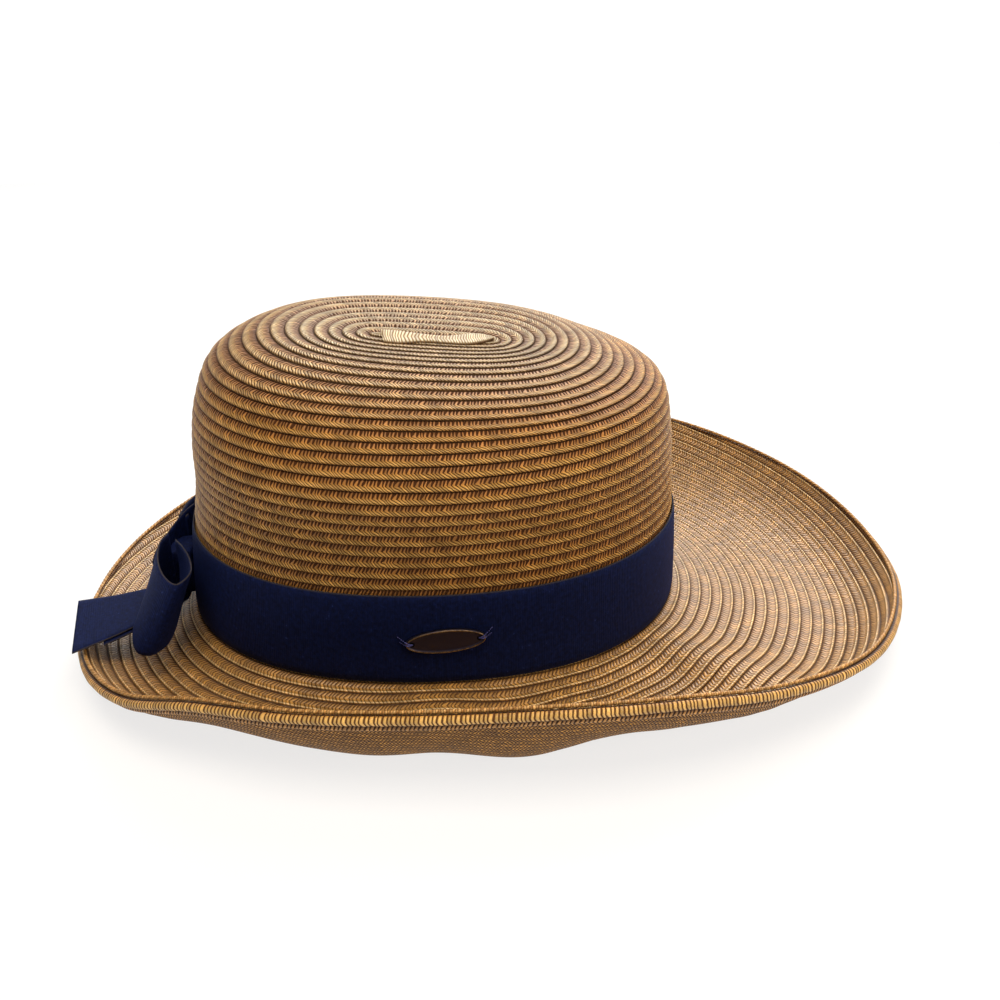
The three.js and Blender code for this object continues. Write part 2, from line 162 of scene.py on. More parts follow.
def unit(ways):
    """The same directions, each of length 1."""
    return ways / np.linalg.norm(ways, axis=-1, keepdims=True)


def outward(angle):
    """The level way straight out from the foot of the crown."""
    base = np.full_like(angle, BASE_ROW)
    a_little = 1e-3  # in radians
    along = crown_point(angle + a_little, base) - crown_point(angle - a_little, base)
    return unit(np.stack([along[:, 1], -along[:, 0], 0 * angle], -1))


# The solids are centred on the hat's box. The shift comes from the crown, whose box is known in
# both: its outer corners lie at these rows, and evenly round each of them.
SOLID_SIDES = 64
SOLID_ROWS = np.array([0, 2, 4, 6.5, 9, 11, 12.5, 14, 15.5, 17, 18.5, 20, 22, 25, 28, 32, 36])
corner_angles = np.arange(SOLID_SIDES) * math.tau / SOLID_SIDES
corner_rows = np.broadcast_to(SOLID_ROWS, (SOLID_SIDES, len(SOLID_ROWS)))
corners = crown_point(corner_angles[:, None], corner_rows)
crown_box = np.maximum(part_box("crown_tip")[1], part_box("crown_wall")[1])
shift = crown_box / MM - corners.reshape(-1, 3).max(0)
print("shift of the part's origin, mm:", shift.round(2))

# %% [markdown]
# ## Sheets
#
# A sheet is the smooth surface that the braid is sewn into: a grid of points round the hat, each
# with the way straight out of it. The crown and the brim could also be two smooth meshes with the
# braid painted on. Laying its relief on a sheet makes every row real, and the same code serves
# the crown, the brim and the ribbon.

# %% The two sheets
class Sheet:
    """A grid of points[i, j]: i runs round the hat and closes on itself, j runs across."""

    def __init__(self, points, width=None):
        self.points = points
        self.width = width
        along = np.roll(points[:-1], -1, 0) - np.roll(points[:-1], 1, 0)
        along = np.vstack([along, along[:1]])
        out = np.cross(np.gradient(points, axis=1), along)
        length = np.linalg.norm(out, axis=-1, keepdims=True)
        self.normals = out / np.maximum(length, 1e-9)  # no division by zero where points meet

    def at(self, place, lift):
        """Points at places counted in lines across, raised off the surface by lift in mm."""
        low = np.clip(np.floor(place).astype(int), 0, self.points.shape[1] - 2)
        share = (place - low)[..., None]
        line = np.arange(len(self.points))[:, None]
        point = self.points[line, low] * (1 - share) + self.points[line, low + 1] * share
        normal = self.normals[line, low] * (1 - share) + self.normals[line, low + 1] * share
        return point + normal * np.asarray(lift)[..., None]


CROWN_LINES = 4  # lines of the crown's sheet for each row of braid
BRIM_LINES = 60  # lines of the brim's sheet from the crown to its edge


def angles_round(count):
    """Even angles for that many steps round the hat, its first one again at the end."""
    return np.arange(count + 1) * math.tau / count


def crown_sheet(count):
    """The crown's sheet, from the tip's middle down to the brim."""
    rows = np.arange(BASE_ROW * CROWN_LINES + 1) / CROWN_LINES
    angle = angles_round(count)[:, None]
    sheet = Sheet(crown_point(angle, np.broadcast_to(rows, (count + 1, len(rows)))) + shift)
    sheet.normals[:, 0] = [0, 0, 1]
    return sheet


def brim_sheet(count):
    """The brim's sheet, halfway through the straw, from the crown's foot out to the edge."""
    angle = angles_round(count)
    turn = np.degrees(np.arctan2(np.sin(angle), np.cos(angle)))
    table = smooth(BRIM_RING, turn)
    width, slopes = table[:, 0], np.radians(table[:, 1:])
    # each column of this table is the share that one of the four slopes has from place to place
    shares = np.column_stack([np.arange(4) / 3, np.eye(4)])
    fine = slopes @ smooth(shares, (np.arange(BRIM_LINES) + 0.5) / BRIM_LINES).T
    step = (width / BRIM_LINES)[:, None]
    reach = np.cumsum(np.hstack([0 * step, step * np.cos(fine)]), 1)
    rise = np.cumsum(np.hstack([0 * step, step * np.sin(fine)]), 1)
    points = crown_point(angle, np.full_like(angle, BASE_ROW))[:, None] + shift
    points = points + outward(angle)[:, None] * reach[..., None]
    waves = sum(height * np.exp(-(((turn - at) / half) ** 2))
                for at, half, height in BRIM_WAVES + SEWN_FOLDS)
    waves = waves[:, None] * np.sin(np.linspace(0, math.pi, BRIM_LINES + 1))
    points[..., 2] += rise + waves - GAP - STRAW / 2
    return Sheet(points, width)


widths = brim_sheet(36).width
print("brim width, mm:", widths.min().round(), "to", widths.max().round())

# %% [markdown]
# ## From grids to meshes
#
# One function turns a grid of points into a mesh. Its texture coordinates are millimetres along
# the braid and rows across it, so the materials draw every straw at its true size. Points that
# fall together, as where a turn of the spiral meets the next one, are welded.

# %% Making a mesh from a grid
def distances(path):
    """How far each point of a path lies along it."""
    return np.concatenate([[0], np.cumsum(np.linalg.norm(np.diff(path, axis=0), axis=1))])


def uv_grid(along, across):
    """Texture coordinates from distances along and places across."""
    return np.stack(np.broadcast_arrays(along, across), -1)


def add_object(name, data, materials=()):
    """Puts a mesh with its materials, a lamp or a camera into the scene."""
    for material in materials:
        data.materials.append(material)
    made = bpy.data.objects.new(name, data)
    bpy.context.scene.collection.objects.link(made)
    return made


def plain_mesh(name, points, faces):
    """A smooth mesh from lists of points, in metres, and faces."""
    mesh = bpy.data.meshes.new(name)
    mesh.from_pydata([tuple(point) for point in points], [], faces)
    mesh.polygons.foreach_set("use_smooth", [True] * len(faces))
    return mesh


THINNEST = 2e-5  # a face with a shorter diagonal than this, in metres, is left out
WELD = 1e-6  # points closer than this, in metres, become one


def grid_piece(name, points, uv, materials, which=None, loop=True, caps=False):
    """A mesh piece from a grid in mm. With loop, each line's last point joins its first."""
    lines, across = points.shape[:2]
    last = across if loop else across - 1
    i, j = np.meshgrid(np.arange(lines - 1), np.arange(last), indexing="ij")
    here, after = i * across + j, i * across + (j + 1) % across
    quads = np.stack([here, after, after + across, here + across], -1).reshape(-1, 4)
    flat = points.reshape(-1, 3) * MM
    diagonals = np.linalg.norm(flat[quads[:, 0]] - flat[quads[:, 2]], axis=1)
    others = np.linalg.norm(flat[quads[:, 1]] - flat[quads[:, 3]], axis=1)
    kept = np.minimum(diagonals, others) > THINNEST
    quads = quads[kept]
    mesh = bpy.data.meshes.new(name)
    mesh.vertices.add(len(flat))
    mesh.vertices.foreach_set("co", flat.ravel())
    mesh.loops.add(quads.size)
    mesh.loops.foreach_set("vertex_index", quads.ravel())
    mesh.polygons.add(len(quads))
    mesh.polygons.foreach_set("loop_start", np.arange(len(quads)) * 4)
    mesh.polygons.foreach_set("use_smooth", np.ones(len(quads), bool))
    if which is not None:
        mesh.polygons.foreach_set("material_index", which[j.ravel()[kept]].astype(np.int32))
    layer = mesh.uv_layers.new(name="straw")
    corners = uv.reshape(-1, 2)[quads.ravel()]
    layer.data.foreach_set("uv", corners.astype(np.float32).ravel())
    mesh.update(calc_edges=True)
    made = bmesh.new()
    made.from_mesh(mesh)
    bmesh.ops.remove_doubles(made, verts=made.verts, dist=WELD)
    loose = [vertex for vertex in made.verts if not vertex.link_faces]
    bmesh.ops.delete(made, geom=loose, context="VERTS")
    if caps:
        bmesh.ops.holes_fill(made, edges=[edge for edge in made.edges if edge.is_boundary])
    bmesh.ops.recalc_face_normals(made, faces=made.faces)
    made.to_mesh(mesh)
    triangles = sum(len(face.verts) - 2 for face in made.faces)
    made.free()
    piece = add_object(name, mesh, materials)
    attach(piece, "root")
    print(name, "-", triangles, "triangles")
    return piece


# %% [markdown]
# ## Materials
#
# Colours are written as sRGB hex and turned to linear by one function. One more adds a node with
# its settings, its links and the stops of a colour ramp. A texture that follows the hat's own
# space takes a size in millimetres, and the last function turns that into repeats in a metre.

# %% Colour and node helpers
def linear(hexa):
    """The linear colour, with alpha, of an sRGB hex value such as "#A87A38"."""
    parts = [int(hexa[k : k + 2], 16) / 255 for k in (1, 3, 5)]
    return [p / 12.92 if p <= 0.04045 else ((p + 0.055) / 1.055) ** 2.4 for p in parts] + [1.0]


def fill(node, sockets):
    """Gives inputs their values. An output is linked instead, and so is a node's first one."""
    for key, value in sockets.items():
        if isinstance(value, bpy.types.Node):
            value = value.outputs[0]
        if isinstance(value, bpy.types.NodeSocket):
            node.id_data.links.new(value, node.inputs[key])
        else:
            node.inputs[key].default_value = value


def add_node(tree, kind, sockets=None, stops=(), **settings):
    """Adds a node. stops are a colour ramp's: places, each with a hex colour or a number."""
    made = tree.nodes.new("ShaderNode" + kind)
    for key, value in settings.items():
        setattr(made, key, value)
    fill(made, sockets or {})
    if stops:
        elements = made.color_ramp.elements
        while len(elements) < len(stops):
            elements.new(0.5)
        for element, (place, colour) in zip(elements, stops):
            element.position = place
            element.color = linear(colour) if isinstance(colour, str) else [colour] * 3 + [1.0]
    return made


def new_material(name, roughness, metallic=0.0, specular=0.5, colour=None):
    """A material at the default IOR, with what puts nodes into it, and its shader."""
    material = bpy.data.materials.new(name)
    material.use_nodes = True
    shader = material.node_tree.nodes["Principled BSDF"]
    fill(shader, {"Roughness": roughness, "Metallic": metallic, "IOR": 1.5,
                  "Specular IOR Level": specular})
    if colour:
        fill(shader, {"Base Color": linear(colour)})
    return material, partial(add_node, material.node_tree), shader


def per_metre(size):
    """How often something of that size in mm comes in a metre."""
    return 1 / (size * MM)


# %% [markdown]
# ### Plaited paper straw
#
# Paper straw is kraft paper twisted into a flat yarn and lightly waxed, so it is a matt golden
# tan with a weak gloss. In the braid the straws cross the row at a slant, one way on its inner
# half and the other way on its outer half: a herringbone. Between two straws the colour is
# darkened by painted shade, widest where the row comes out from under its neighbour, and each
# straw is painted darker at its sides for its round. The pattern is worked out from the texture
# coordinates: the distance along the braid gives the straws, and the place across the row their
# slant, the gaps, and the row's colour with painted shade in its steps and a painted highlight on
# its raised edge. A picture of braid wrapped round the hat would stretch and blur where the rows
# bend.

# %% The straw material
STRAW_PATCH = 20 / 3  # mm across a lighter or darker patch
FIBRE = 0.4  # mm across a fibre of the paper; finer ones wouldn't show
GAP_SOFTNESS = 0.13  # how much of a stroke a straw takes to round off into its gap
ROW_STEP = 71.3  # keeps the straws of one row from repeating the shades of the next
TIP_HIGHLIGHT_ROWS = (4.0, 13.5)  # a painted highlight pales the crown's top fully up to the first row, and not past the second


def straw_material(name, stroke, leans, row_stops, gap_stops, gap_shade, bump,
                   wander=0.8, rows=1, rough=0.42, specular=0.5, tip_highlight=None):
    """A herringbone of straws. Lengths are in mm, and stops run across the row.

    stroke: from one straw to the next. leans: how many strokes each half of the row slants, and
    wander: how many the straws stray. row_stops: the colour, with the painted shade and highlight
    across the row. gap_stops: how open the gaps are. gap_shade: the painted shade in the gaps.
    bump: how high a straw stands. tip_highlight: what a painted highlight multiplies the first
    rows' colour by.
    """
    material, put, shader = new_material(name, roughness=rough, specular=specular)
    uv = put("UVMap", uv_map="straw")
    parts = put("SeparateXYZ", {0: uv})
    distance, row_count = parts.outputs[0], parts.outputs[1]
    row_place = put("Math", {0: row_count, 1: rows}, operation="MULTIPLY")
    across = put("Math", {0: row_place}, operation="FRACT")
    row_number = put("Math", {0: row_place}, operation="FLOOR")
    # every row starts its straws at a place of its own
    start = put("TexWhiteNoise", {"W": row_number}, noise_dimensions="1D")
    inner = put("MapRange", {0: across, 2: 0.5, 3: leans[0], 4: 0.0})
    outer = put("MapRange", {0: across, 1: 0.5, 4: leans[1]})
    slant = put("Math", {0: inner, 1: outer}, operation="ADD")
    uneven = put("TexNoise", {"Vector": uv.outputs[0], "Scale": 0.45 / stroke, "Detail": 1.0})
    along = put("Math", {0: distance, 1: 1 / stroke, 2: start}, operation="MULTIPLY_ADD")
    wandering = put("Math", {0: uneven, 1: wander, 2: along}, operation="MULTIPLY_ADD")
    phase = put("Math", {0: wandering, 1: slant}, operation="SUBTRACT")
    wave = put("Math", {0: phase, 1: 0.5}, operation="PINGPONG")
    # how open the gap between two straws is at this place across the row
    opening = put("ValToRGB", {0: across}, stops=gap_stops)
    gap_edge = put("Math", {0: opening, 1: 0.5}, operation="MULTIPLY")
    straw_edge = put("Math", {0: gap_edge, 1: GAP_SOFTNESS}, operation="ADD")
    body = put("MapRange", {0: wave, 1: gap_edge, 2: straw_edge},
               interpolation_type="SMOOTHSTEP")
    # colour: across the row, then patches and single straws, then painted shade for the round of
    # each straw and in the gaps
    row = put("ValToRGB", {0: across}, stops=row_stops)
    in_space = put("TexCoord").outputs["Object"]
    patches = put("TexNoise", {0: in_space, "Scale": per_metre(STRAW_PATCH), "Detail": 6.0})
    shade = put("MapRange", {0: patches, 1: 0.3, 2: 0.7, 3: 0.8, 4: 1.2})
    straw_number = put("Math", {0: phase}, operation="FLOOR")
    one_straw = put("Math", {0: row_number, 1: ROW_STEP, 2: straw_number},
                    operation="MULTIPLY_ADD")
    seed = put("TexWhiteNoise", {"W": one_straw}, noise_dimensions="1D")
    straw_shade = put("MapRange", {0: seed, 3: 0.7, 4: 1.25})
    # painted shade: each straw darker at its sides and lighter in its middle; the same share raises
    # it in the bump below
    round_shade_and_relief = put("MapRange", {0: wave, 2: 0.4, 3: 0.72, 4: 1.1})
    shades = put("Math", {0: shade, 1: straw_shade}, operation="MULTIPLY")
    tone = put("Math", {0: shades, 1: round_shade_and_relief}, operation="MULTIPLY")
    toned = put("Mix", {6: row, 7: tone, 0: 1.0}, data_type="RGBA", blend_type="MULTIPLY")
    # painted highlight: the crown's first rows are paled towards cream
    if tip_highlight:
        full, none = TIP_HIGHLIGHT_ROWS
        tip_highlight_share = put("MapRange", {0: row_count, 1: full, 2: none, 3: 1.0, 4: 0.0})
        toned = put("Mix", {6: toned.outputs[2], 7: [*tip_highlight, 1.0], 0: tip_highlight_share},
                    data_type="RGBA", blend_type="MULTIPLY")
    # painted shade: the straws' colour goes dark in the gaps between them
    colour = put("Mix", {6: linear(gap_shade), 7: toned.outputs[2], 0: body},
                 data_type="RGBA")
    # relief: each straw is a low ridge, with fine fibres on it
    fibre = put("TexNoise", {0: in_space, "Scale": per_metre(FIBRE), "Detail": 2.0})
    ridge = put("Math", {0: body, 1: round_shade_and_relief}, operation="MULTIPLY")
    relief = put("Math", {0: fibre, 1: 0.2, 2: ridge}, operation="MULTIPLY_ADD")
    raised = put("Bump", {"Height": relief, "Distance": bump * MM})
    gloss = put("MapRange", {0: body, 3: 0.9, 4: rough})
    fill(shader, {"Base Color": colour.outputs[2], "Normal": raised, "Roughness": gloss})
    return material


crown_straw = straw_material(
    "plaited_paper_straw_crown",
    stroke=1.35,
    leans=(0.6, 2.1),
    # the colour across the row: the straw's own, darker in the step at each end, partly darker
    # straw and partly painted shade, and lighter on the rope-like edge, partly a painted highlight;
    # the gap colour is painted shade between straws
    row_stops=[(0.0, "#2A1606"), (0.04, "#7A4C22"), (0.12, "#A06834"), (0.44, "#A67034"),
               (0.56, "#B07E38"), (0.8, "#C69A54"), (0.94, "#A27032"), (1.0, "#2E1806")],
    gap_stops=[(0.0, 0.66), (0.14, 0.52), (0.32, 0.36), (0.47, 0.16), (0.55, 0.08), (0.8, 0.16),
               (1.0, 0.25)],
    gap_shade="#46260A",
    bump=0.4,
    wander=1.6,
    specular=0.25,
    # a painted highlight that pales the crown's top rows towards cream
    tip_highlight=(1.05, 1.52, 3.5),
)
brim_straw = straw_material(
    "plaited_paper_straw_brim",
    stroke=1.5,
    leans=(1.0, 0.9),
    # the colour across the row: the straw's own, with painted shade in the steps and at the foot of
    # the raised edge, and a lighter raised edge, partly a painted highlight; the gap colour is
    # painted shade between straws
    row_stops=[(0.0, "#2A1404"), (0.06, "#845A24"), (0.2, "#A87A38"), (0.7, "#B0803C"),
               (0.76, "#865E2A"), (0.8, "#D4AE70"), (0.9, "#DCBA82"), (0.95, "#A67430"),
               (1.0, "#2A1404")],
    gap_stops=[(0.0, 0.5), (0.2, 0.34), (0.42, 0.12), (0.58, 0.05), (0.74, 0.12), (0.79, 0.0),
               (1.0, 0.0)],
    gap_shade="#5E3A12",
    bump=0.3,
    wander=1.3,
    rough=0.38,
    specular=0.9,
)
back_straw = straw_material(
    "plaited_paper_straw_back",
    stroke=1.3,
    leans=(1.1, 1.1),
    row_stops=[(0.0, "#8A5A1E"), (0.1, "#B07828"), (0.5, "#C08834"), (0.9, "#B07828"),
               (1.0, "#8A5A1E")],
    gap_stops=[(0.0, 0.6), (0.5, 0.36), (1.0, 0.6)],
    # the gap colour is painted shade between straws
    gap_shade="#3E2208",
    bump=0.35,
    rows=2,
    rough=0.62,
)
print("straw materials:", crown_straw.name, brim_straw.name, back_straw.name)

# %% [markdown]
# ## The braid
#
# Seen in section, one row climbs out from under the row before it, swells to its rope-like edge,
# and drops into the step where the next row starts. The crown is wound as a true spiral, in three
# lengths, because one mesh of that fineness would be heavy. The brim's rows run level with its
# inner edge and are cut off one after another by the bound rim.

# %% Sections of one row
# place across the row (0 to 1), height in mm
TIP_SECTION = [(0.0, -0.55), (0.04, -0.4), (0.15, -0.15), (0.35, 0.0), (0.5, 0.02), (0.63, 0.1),
               (0.77, 0.26), (0.89, 0.26), (0.97, 0.05), (0.985, -0.5)]
CROWN_SECTION = [(0.0, -0.75), (0.03, -0.45), (0.12, -0.26), (0.35, -0.14), (0.5, -0.12),
                 (0.63, 0.05), (0.77, 0.26), (0.89, 0.26), (0.975, 0.0), (0.985, -0.75)]
BRIM_SECTION = [(0.0, -0.55), (0.05, -0.25), (0.25, 0.0), (0.5, 0.06), (0.73, 0.05), (0.79, 0.42),
                (0.86, 0.55), (0.93, 0.42), (0.965, 0.0), (0.985, -0.55)]
PLAIN_SECTION = [(0.0, -0.3)]  # where the ribbon hides the braid


def braid_rows(first, last, section):
    """Places and heights across several rows, from row first up to row last."""
    return [(row + place, height) for row in range(first, last) for place, height in section]


def braid_piece(name, node, sheet, lines_per_row, pairs, back_rows, spiral, edge, front_straw,
                lift=0.0):
    """Lays rows of braid on a sheet, with a smooth back a braid's thickness below.

    pairs: the front's rows and heights. back_rows: where the back has a line. spiral: how many
    rows a turn round the hat gains. edge: the row where the braid is cut off, all round.
    """
    count = len(sheet.points) - 1
    turn = (np.arange(count + 1) / count * spiral)[:, None]
    front, back = np.array(pairs), np.array(back_rows[::-1], float)
    unclipped = np.hstack([front[:, 0], back])
    rows = np.clip(unclipped[None] + turn, 0 if spiral else -1, edge[:, None])
    heights = np.hstack([front[:, 1] + lift, np.full(len(back), lift - STRAW)])
    place = rows * lines_per_row[:, None]
    points = sheet.at(place, heights)
    points[..., 2] = np.maximum(points[..., 2], 0)  # it rests on the floor, not in it
    # the number of the row that each line belongs to: a line at its inner edge counts to it
    index = np.floor(np.concatenate([front[:, 0] + 0.02, back - 0.5])).astype(int)
    index = np.clip(index, 0, None)
    # the distance along each row, measured down its middle
    along = np.zeros_like(rows)
    start = 0.0
    for row in range(index.min(), index.max() + 1):
        middle = np.clip(row + 0.5 + turn, 0, edge[:, None]) * lines_per_row[:, None]
        length = distances(sheet.at(middle, 0)[:, 0])
        along[:, index == row] = (start + length)[:, None]
        if spiral:
            start += length[-1]
    along[:, len(front):] = along[:, [len(front) - 1]]  # the back takes the outermost row's
    across = np.broadcast_to(unclipped[None], rows.shape)
    # the last corner of a section lies under its own edge, so its place is kept inside the row
    across = np.where(across - index[None] >= 1, index[None] + 0.999, across)
    which = np.array([0] * (len(front) - 1) + [1] * (len(back) + 1))
    piece = grid_piece(name, points, uv_grid(along, across), [front_straw, back_straw],
                       which)
    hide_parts(node)


# %% The crown's braid
TIP_ROWS, SHOULDER_ROWS, WALL_ROWS = 12, 20, 29  # the last row of each length
# name, first row, last row, lines round the hat, the solid it dresses
CROWN_LENGTHS = (
    ("crown_tip_braid", -1, TIP_ROWS, 420, "crown_tip"),  # row -1 closes the tip's middle
    ("crown_shoulder_braid", TIP_ROWS, SHOULDER_ROWS, 640, "crown_wall"),
    ("crown_wall_braid", SHOULDER_ROWS, WALL_ROWS, 660, "crown_wall"),
)
for name, first, last, count, node in CROWN_LENGTHS:
    pairs = braid_rows(first, last, TIP_SECTION if last == TIP_ROWS else CROWN_SECTION)
    back = list(range(first, last + 1))
    if last == WALL_ROWS:
        pairs += braid_rows(WALL_ROWS, BASE_ROW + 1, PLAIN_SECTION)
        back = list(range(first, BASE_ROW + 1))
    per_row = np.full(count + 1, float(CROWN_LINES))
    edge = np.full(count + 1, float(BASE_ROW))
    braid_piece(name, node, crown_sheet(count), per_row, pairs, back, 1.0, edge, crown_straw)

# %% [markdown]
# The sewing starts from a short strip of the same braid at full width. It lies on the tip, cut
# blunt at one end, and at the other it folds to a point where the first turn begins.

# %% The strip at the tip
# x, y and how far that place of the edge stands off the tip, in mm
STRIP_FAR = [[-13.5, -12.9, 1.4], [-6.2, -12.6, 1.1], [3.3, -13.2, 0.6], [10.9, -12.8, 0.3],
             [18.5, -9.6, 0.2], [24.3, -8.0, 0.2], [29.7, -10.4, 0]]
STRIP_NEAR = [[-12, -21.2, 0], [-5.8, -21.4, 0], [3.5, -18.6, 0], [11.4, -18.6, 0],
              [19, -18.2, 0], [25.1, -15.2, 0], [29.8, -11, 0]]
# share of the way from the far edge to the near one, height above the tip
STRIP_SECTION = np.array([(0.0, 0.0), (0.01, 0.75), (0.08, 1.05), (0.25, 1.1), (0.5, 0.95),
                          (0.75, 1.1), (0.92, 1.05), (0.99, 0.75), (1.0, 0.0)])
# the plane that the strip lies on: a point of it, and how it rises to the front and the far side
STRIP_PLANE = {"x": 6, "y": -11.5, "height": 118.0, "front": -0.11, "far": 0.12}
STRIP_STEPS = 60
STRIP_LENGTH = 46


def curve_through(points, steps, share=1.0):
    """A smooth curve through the points, read at even steps of its first share."""
    points = np.array(points, float)
    spans = np.linalg.norm(np.diff(points, axis=0), axis=1) ** 0.5
    knots = np.concatenate([[0], np.cumsum(spans)])
    at = np.linspace(0, (len(points) - 1) * share, steps + 1)
    lines = np.interp(at, np.arange(len(points)), knots)
    return smooth(np.column_stack([knots, points]), lines)


far_edge = curve_through(STRIP_FAR, STRIP_STEPS)
near_edge = curve_through(STRIP_NEAR, STRIP_STEPS)
flat = far_edge[:, None] + (near_edge - far_edge)[:, None] * STRIP_SECTION[None, :, :1]
to_far = STRIP_PLANE["far"] * (flat[..., 1] - STRIP_PLANE["y"])
to_front = STRIP_PLANE["front"] * (flat[..., 0] - STRIP_PLANE["x"])
flat[..., 2] += STRIP_PLANE["height"] + to_far + to_front + STRIP_SECTION[:, 1]
strip_points = flat + shift
run = np.linspace(0, STRIP_LENGTH, len(far_edge))
strip_uv = uv_grid(run[:, None], STRIP_SECTION[:, 0] * 0.999)
strip_straw = straw_material(
    "plaited_paper_straw_strip",
    stroke=1.1,
    leans=(0.7, 0.7),
    # pale cream, partly the straw's own colour and partly a painted highlight of the crown's top,
    # with painted shade at the near edge; the gap colour is painted shade between straws
    row_stops=[(0.0, "#A48C68"), (0.07, "#D2C09C"), (0.5, "#C4AC82"), (0.93, "#D8C8A6"),
               (1.0, "#4A2A10")],
    gap_stops=[(0.0, 0.25), (0.5, 0.1), (1.0, 0.25)],
    gap_shade="#94744C",
    bump=0.25,
)
strip = grid_piece("crown_tip_strip", strip_points, strip_uv, [strip_straw],
                   caps=True)
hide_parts("crown_tip")

# %% The brim's braid
INNER_BRIM_ROWS, ALL_BRIM_ROWS = 8, 22
UNDER_WALL = -0.6  # the braid runs in a little below the crown's wall, up to this row
EDGE_INSET = 0.8  # the rows end this far inside the brim's edge, under the binding
# name, first row, last row, lines round the hat
BRIM_LENGTHS = (("brim_inner_braid", 0, INNER_BRIM_ROWS, 760),
                ("brim_outer_braid", INNER_BRIM_ROWS, ALL_BRIM_ROWS, 920))
for name, first, last, count in BRIM_LENGTHS:
    sheet = brim_sheet(count)
    per_row = BRAID_PITCH * BRIM_LINES / sheet.width
    edge = (sheet.width - EDGE_INSET) / BRAID_PITCH
    pairs = braid_rows(first, last, BRIM_SECTION)
    back = list(range(first, last + 1))
    if first == 0:
        pairs = [(UNDER_WALL, 0.0)] + pairs
        back = [UNDER_WALL] + back
    braid_piece(name, "brim", sheet, per_row, pairs, back, 0.0, edge, brim_straw, STRAW / 2)

# %% [markdown]
# ## The bound edge
#
# The last row of braid is folded over the brim's cut edge and sewn through. Its first strand
# stands on the edge as a thin twisted cord. Outside it the braid turns down as a plump roll,
# crossed by its straws. A line of stitches pulls in the roll's lower side, and a flatter strand
# follows below them.

# %% The roll
BINDING_COUNT = 2000  # lines round the rim, about three for each straw
STRAW_STEP = 1.45  # mm from one straw of the rim to the next
STITCH_PITCH = 6.4  # mm from one stitch to the next
ROLL_CENTRE = np.array([0.5, -0.9])  # the roll swells and shrinks round this place of its section
PLUMP_WAVES = (2.9, 7.3)  # mm for each radian of the two waves that make the roll uneven
# inwards from the brim's edge, height above the middle of the brim, texture place across;
# from place 1 on, the section is that of the flatter strand below the stitches
ROLL_SECTION = np.array([
    [1.3, 0.9, 0.0], [0.3, 0.95, 0.04], [-0.3, 0.6, 0.08], [-0.65, 0.05, 0.13],
    [-0.95, -0.55, 0.2], [-1.05, -1.2, 0.3], [-0.75, -1.9, 0.4], [-0.1, -2.4, 0.5],
    [0.75, -2.55, 0.62], [1.55, -2.3, 0.74], [2.15, -1.75, 0.86], [2.5, -1.2, 0.96],
    [2.8, -1.15, 1.02], [3.2, -1.5, 1.15], [3.8, -1.85, 1.35], [4.5, -1.85, 1.6],
    [5.1, -1.5, 1.82], [5.45, -0.95, 1.96], [5.45, -0.8, 1.97], [3.0, -0.75, 1.98],
    [0.3, -0.7, 1.985], [0.3, 0.7, 1.99],
])


rim = brim_sheet(BINDING_COUNT)
edge = rim.points[:, -1]
inwards, up = unit(rim.points[:, -3] - edge), rim.normals[:, -1]  # from the edge
length = distances(edge)
strokes = round(length[-1] / STRAW_STEP)
run = length * (strokes * STRAW_STEP / length[-1])  # stretched, so that whole straws fit
pull = np.cos(run / STITCH_PITCH * math.tau)[:, None]  # the stitches draw the roll in and out
plump = np.sin(run / PLUMP_WAVES[0])[:, None] * np.sin(run / PLUMP_WAVES[1])[:, None]
on_roll = np.clip(1 - np.abs(ROLL_SECTION[:, 2] - 0.5) / 0.42, 0, 1)
low_side = np.clip(1 - np.abs(ROLL_SECTION[:, 2] - 0.85) / 0.2, 0, 1)
grow = 1 + 0.05 * plump * on_roll - 0.07 * pull * low_side
inner = ROLL_CENTRE[0] + (ROLL_SECTION[:, 0] - ROLL_CENTRE[0]) * grow
height = ROLL_CENTRE[1] + (ROLL_SECTION[:, 1] - ROLL_CENTRE[1]) * grow
points = edge[:, None] + inwards[:, None] * inner[..., None] + up[:, None] * height[..., None]
points[..., 2] = np.maximum(points[..., 2], 0)
uv = uv_grid(run[:, None], ROLL_SECTION[:, 2])
roll_straw = straw_material(
    "plaited_paper_straw_rim",
    stroke=STRAW_STEP,
    leans=(0.2, 1.1),
    # painted shade in the dark line under the cord and towards the stitches at the roll's foot; the
    # gap colour is painted shade between straws
    row_stops=[(0.0, "#9A6C34"), (0.04, "#7A5022"), (0.07, "#241204"), (0.15, "#241204"),
               (0.19, "#C08C40"), (0.4, "#DAAC5E"), (0.7, "#CE9E52"), (0.85, "#966A34"),
               (0.97, "#3A200A"), (1.0, "#3A200A")],
    gap_stops=[(0.0, 0.25), (0.2, 0.2), (0.6, 0.2), (0.85, 0.5), (1.0, 0.7)],
    gap_shade="#5E3610",
    bump=0.4,
    wander=1.2,
)
strand_straw = straw_material(
    "plaited_paper_straw_rim_strand",
    stroke=STRAW_STEP,
    leans=(0.5, 1.0),
    # painted shade at both edges of the strand; the gap colour is painted shade between straws
    row_stops=[(0.0, "#3A200A"), (0.2, "#9A6A2E"), (0.5, "#BC8640"), (0.75, "#9A6A2E"),
               (0.95, "#3E240E"), (1.0, "#3A200A")],
    gap_stops=[(0.0, 0.4), (0.5, 0.15), (0.8, 0.3), (1.0, 0.8)],
    gap_shade="#3A200A",
    bump=0.3,
)
lower = (ROLL_SECTION[:, 2] >= 1).astype(int)
rim_roll = grid_piece("rim_roll", points, uv, [roll_straw, strand_straw], lower)
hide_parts("edge_binding")

# %% [markdown]
# A cord is two yarns twisted together. A section of two round lobes that turns as it runs along
# the rim gives both the twist and the little valley between the yarns.

